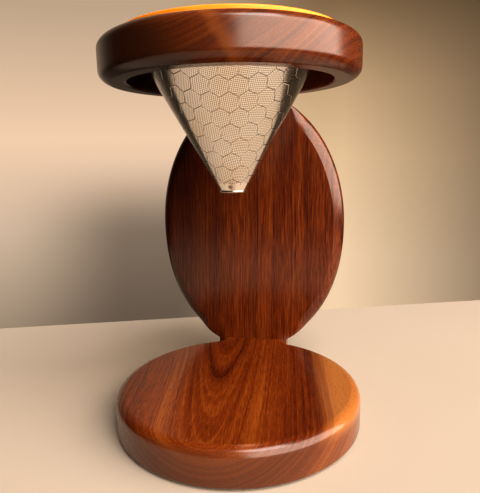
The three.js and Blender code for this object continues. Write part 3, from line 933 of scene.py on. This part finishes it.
def add_collar():
    """The silicone ring, with the channel on its inside that grips the filter's rim."""
    low, high = collar_low, collar_high
    inner, outer = COLLAR_INNER, high.x
    slot_end = rim_high.x + SLOT_GAP
    slot_low = rim_low.z - SLOT_GAP
    slot_high = rim_high.z + SLOT_GAP
    profile = rounded([
        (inner, low.z, 0.3 * MM), (outer, low.z, 0.35 * MM), (outer, high.z, COLLAR_EDGE),
        (inner, high.z, COLLAR_EDGE), (inner, slot_high, 0.1 * MM), (slot_end, slot_high, 0.1 * MM),
        (slot_end, slot_low, 0.1 * MM), (inner, slot_low, 0.1 * MM),
    ])
    verts, faces = lathe(profile, FILTER_AXIS, 256, closed=True)
    orange = silicone_rubber("orange_silicone", (1.0, 0.30, 0.010), (1.0, 0.36, 0.035), 0.36, 0.15)
    piece_from("collar", verts, faces, orange, "collar", ["silicone_collar"], 40)


# ---------------------------------------------------------------- camera, floor and light


def add_camera():
    """Stands in front of the dripper and a little to its right, above the upright's middle."""
    place = Vector((0.0538, -0.3364, 0.1830))
    yaw, pitch, roll = 0.1541, -0.1804, -0.0203  # it is turned a little left, down and over
    ahead = Vector((-math.sin(yaw) * math.cos(pitch), math.cos(yaw) * math.cos(pitch), math.sin(pitch)))
    right = Vector((math.cos(yaw), math.sin(yaw), 0))
    up = right.cross(ahead)
    turned_right = right * math.cos(roll) + up * math.sin(roll)
    turned_up = up * math.cos(roll) - right * math.sin(roll)
    data = bpy.data.cameras.new("camera")
    data.lens = 36.02
    data.sensor_width = 36
    data.clip_start = 0.01
    camera = bpy.data.objects.new("camera", data)
    bpy.context.scene.collection.objects.link(camera)
    turn = Matrix((turned_right, turned_up, -ahead)).transposed()
    camera.matrix_world = Matrix.Translation(place) @ turn.to_4x4()
    bpy.context.scene.camera = camera


def add_floor():
    """A plain pale table top, with its far edge behind the dripper."""
    n = Nodes.of_material("floor_cloth")
    weave = n.noise(n.point(), 900.0, 2.0)
    # painted shade of soft folds in the cloth: the colour dims a little in broad patches
    fold_shade = n.noise(n.point(), 5.0, 2.0)
    n.set(Base_Color=n.mix(fold_shade, (0.42, 0.37, 0.31), (0.455, 0.405, 0.345)), Roughness=0.9)
    n.bump(weave, 0.10, 0.0004)
    width, depth = 0.88, 0.68
    along = Vector((1, 0.285)).normalized()  # the far edge runs back to the right
    front = Vector((along.y, -along.x))
    corner = Vector((0, 0.224)) + along * 0.36
    top = [corner, corner + front * depth, corner + front * depth - along * width, corner - along * width]
    verts = [(p.x, p.y, 0) for p in top]
    faces = [(3, 2, 1, 0)]
    mesh = bpy.data.meshes.new("floor")
    mesh.from_pydata(verts, [], faces)
    mesh.materials.append(n.owner)
    floor = bpy.data.objects.new("floor", mesh)
    bpy.context.scene.collection.objects.link(floor)


def add_light(name, place, target, width, height, radiance, colour):
    """A soft box of a given brightness for each area of its face, turned towards target."""
    data = bpy.data.lights.new(name, "AREA")
    data.shape = "RECTANGLE"
    data.size, data.size_y = width, height
    data.energy = radiance * math.pi * width * height
    data.color = colour
    light = bpy.data.objects.new(name, data)
    bpy.context.scene.collection.objects.link(light)
    light.location = place
    light.rotation_mode = "QUATERNION"
    light.rotation_quaternion = (Vector(target) - Vector(place)).to_track_quat("-Z", "Y")


def add_lights():
    """A wide window to the front right and a soft ceiling light."""
    aim = math.radians(62)
    reach, height = 3.0, 2.15
    window = (math.sin(aim) * reach, -math.cos(aim) * reach, height)
    add_light("window", window, (0, 0, height), 6.3, 4.1, 6.6, (1.0, 0.81, 0.66))
    add_light("ceiling", (0.75, -0.75, 2.2), (0, 0, 0.1), 1.2, 0.9, 11.0, (1.0, 0.88, 0.80))


def set_view():
    """A plain display transform with a little more contrast."""
    bpy.context.scene.view_settings.view_transform = "Standard"
    bpy.context.scene.view_settings.look = "Medium High Contrast"


def add_room():
    """The pale walls behind: each is a band of colours by height, seen in full by the camera.

    The same room lights the object and shows in its gloss, dim in front and below.
    """
    world = bpy.data.worlds.new("room")
    bpy.context.scene.world = world
    n = Nodes(world)
    n.tree.nodes.clear()
    ray = n.add("ShaderNodeTexCoord").outputs["Generated"]
    sideways = n.dot(ray, (1, 0, 0))
    backwards = n.dot(ray, (0, 1, 0))
    upwards = n.dot(ray, (0, 0, 1))
    height = n.ramp(upwards, -0.5, 0.5, 0.0, 1.0, False)
    # painted light on the left wall: brightest in a band just above mid height, darker above and below
    left = n.colours(height, [(0.20, (0.31, 0.235, 0.17)), (0.37, (0.55, 0.42, 0.31)),
                              (0.54, (0.76, 0.54, 0.38)), (0.76, (0.46, 0.34, 0.235))])
    # the stand's soft shadow on the left wall
    shadow = n.math("MULTIPLY", n.ramp(upwards, 0.01, -0.15), n.ramp(sideways, -0.58, -0.36))
    shadow = n.math("MULTIPLY", shadow, n.ramp(backwards, 0.1, 0.6))
    left = n.mix(n.math("MULTIPLY", shadow, 0.66), left, (0.05, 0.035, 0.025))
    # painted light on the right wall: brighter low down, darker towards the top
    right = n.colours(height, [(0.30, (0.56, 0.41, 0.27)), (0.495, (0.49, 0.345, 0.21)),
                               (0.625, (0.37, 0.25, 0.145)), (0.77, (0.155, 0.10, 0.052))])
    # the right wall dims away from the corner, where the two walls blend
    fade = n.ramp(sideways, 0.05, 0.33, 1.38, 0.46, False)
    scaled = n.add("ShaderNodeVectorMath", operation="SCALE")
    n.feed(scaled.inputs[0], right)
    n.feed(scaled.inputs["Scale"], fade)
    wall = n.mix(n.ramp(sideways, -0.28, 0.03), left, scaled.outputs[0])
    lit = n.math("MULTIPLY", n.ramp(backwards, 0.1, 0.75, 0.02, 0.75),
                 n.ramp(upwards, -0.30, 0.05, 0.30, 1.0))
    seen = n.add("ShaderNodeLightPath").outputs["Is Camera Ray"]
    strength = n.math("MAXIMUM", lit, seen)
    ground = n.add("ShaderNodeBackground")
    n.feed(ground.inputs["Color"], wall)
    n.feed(ground.inputs["Strength"], strength)
    out = n.add("ShaderNodeOutputWorld")
    n.feed(out.inputs[0], ground.outputs[0])


# ---------------------------------------------------------------- the scene

add_camera()
add_floor()
add_lights()
add_room()
set_view()
add_boards()
add_plugs_and_screws()
add_feet()
add_cones()
add_rim_and_cap()
add_weld_spot()
add_collar()
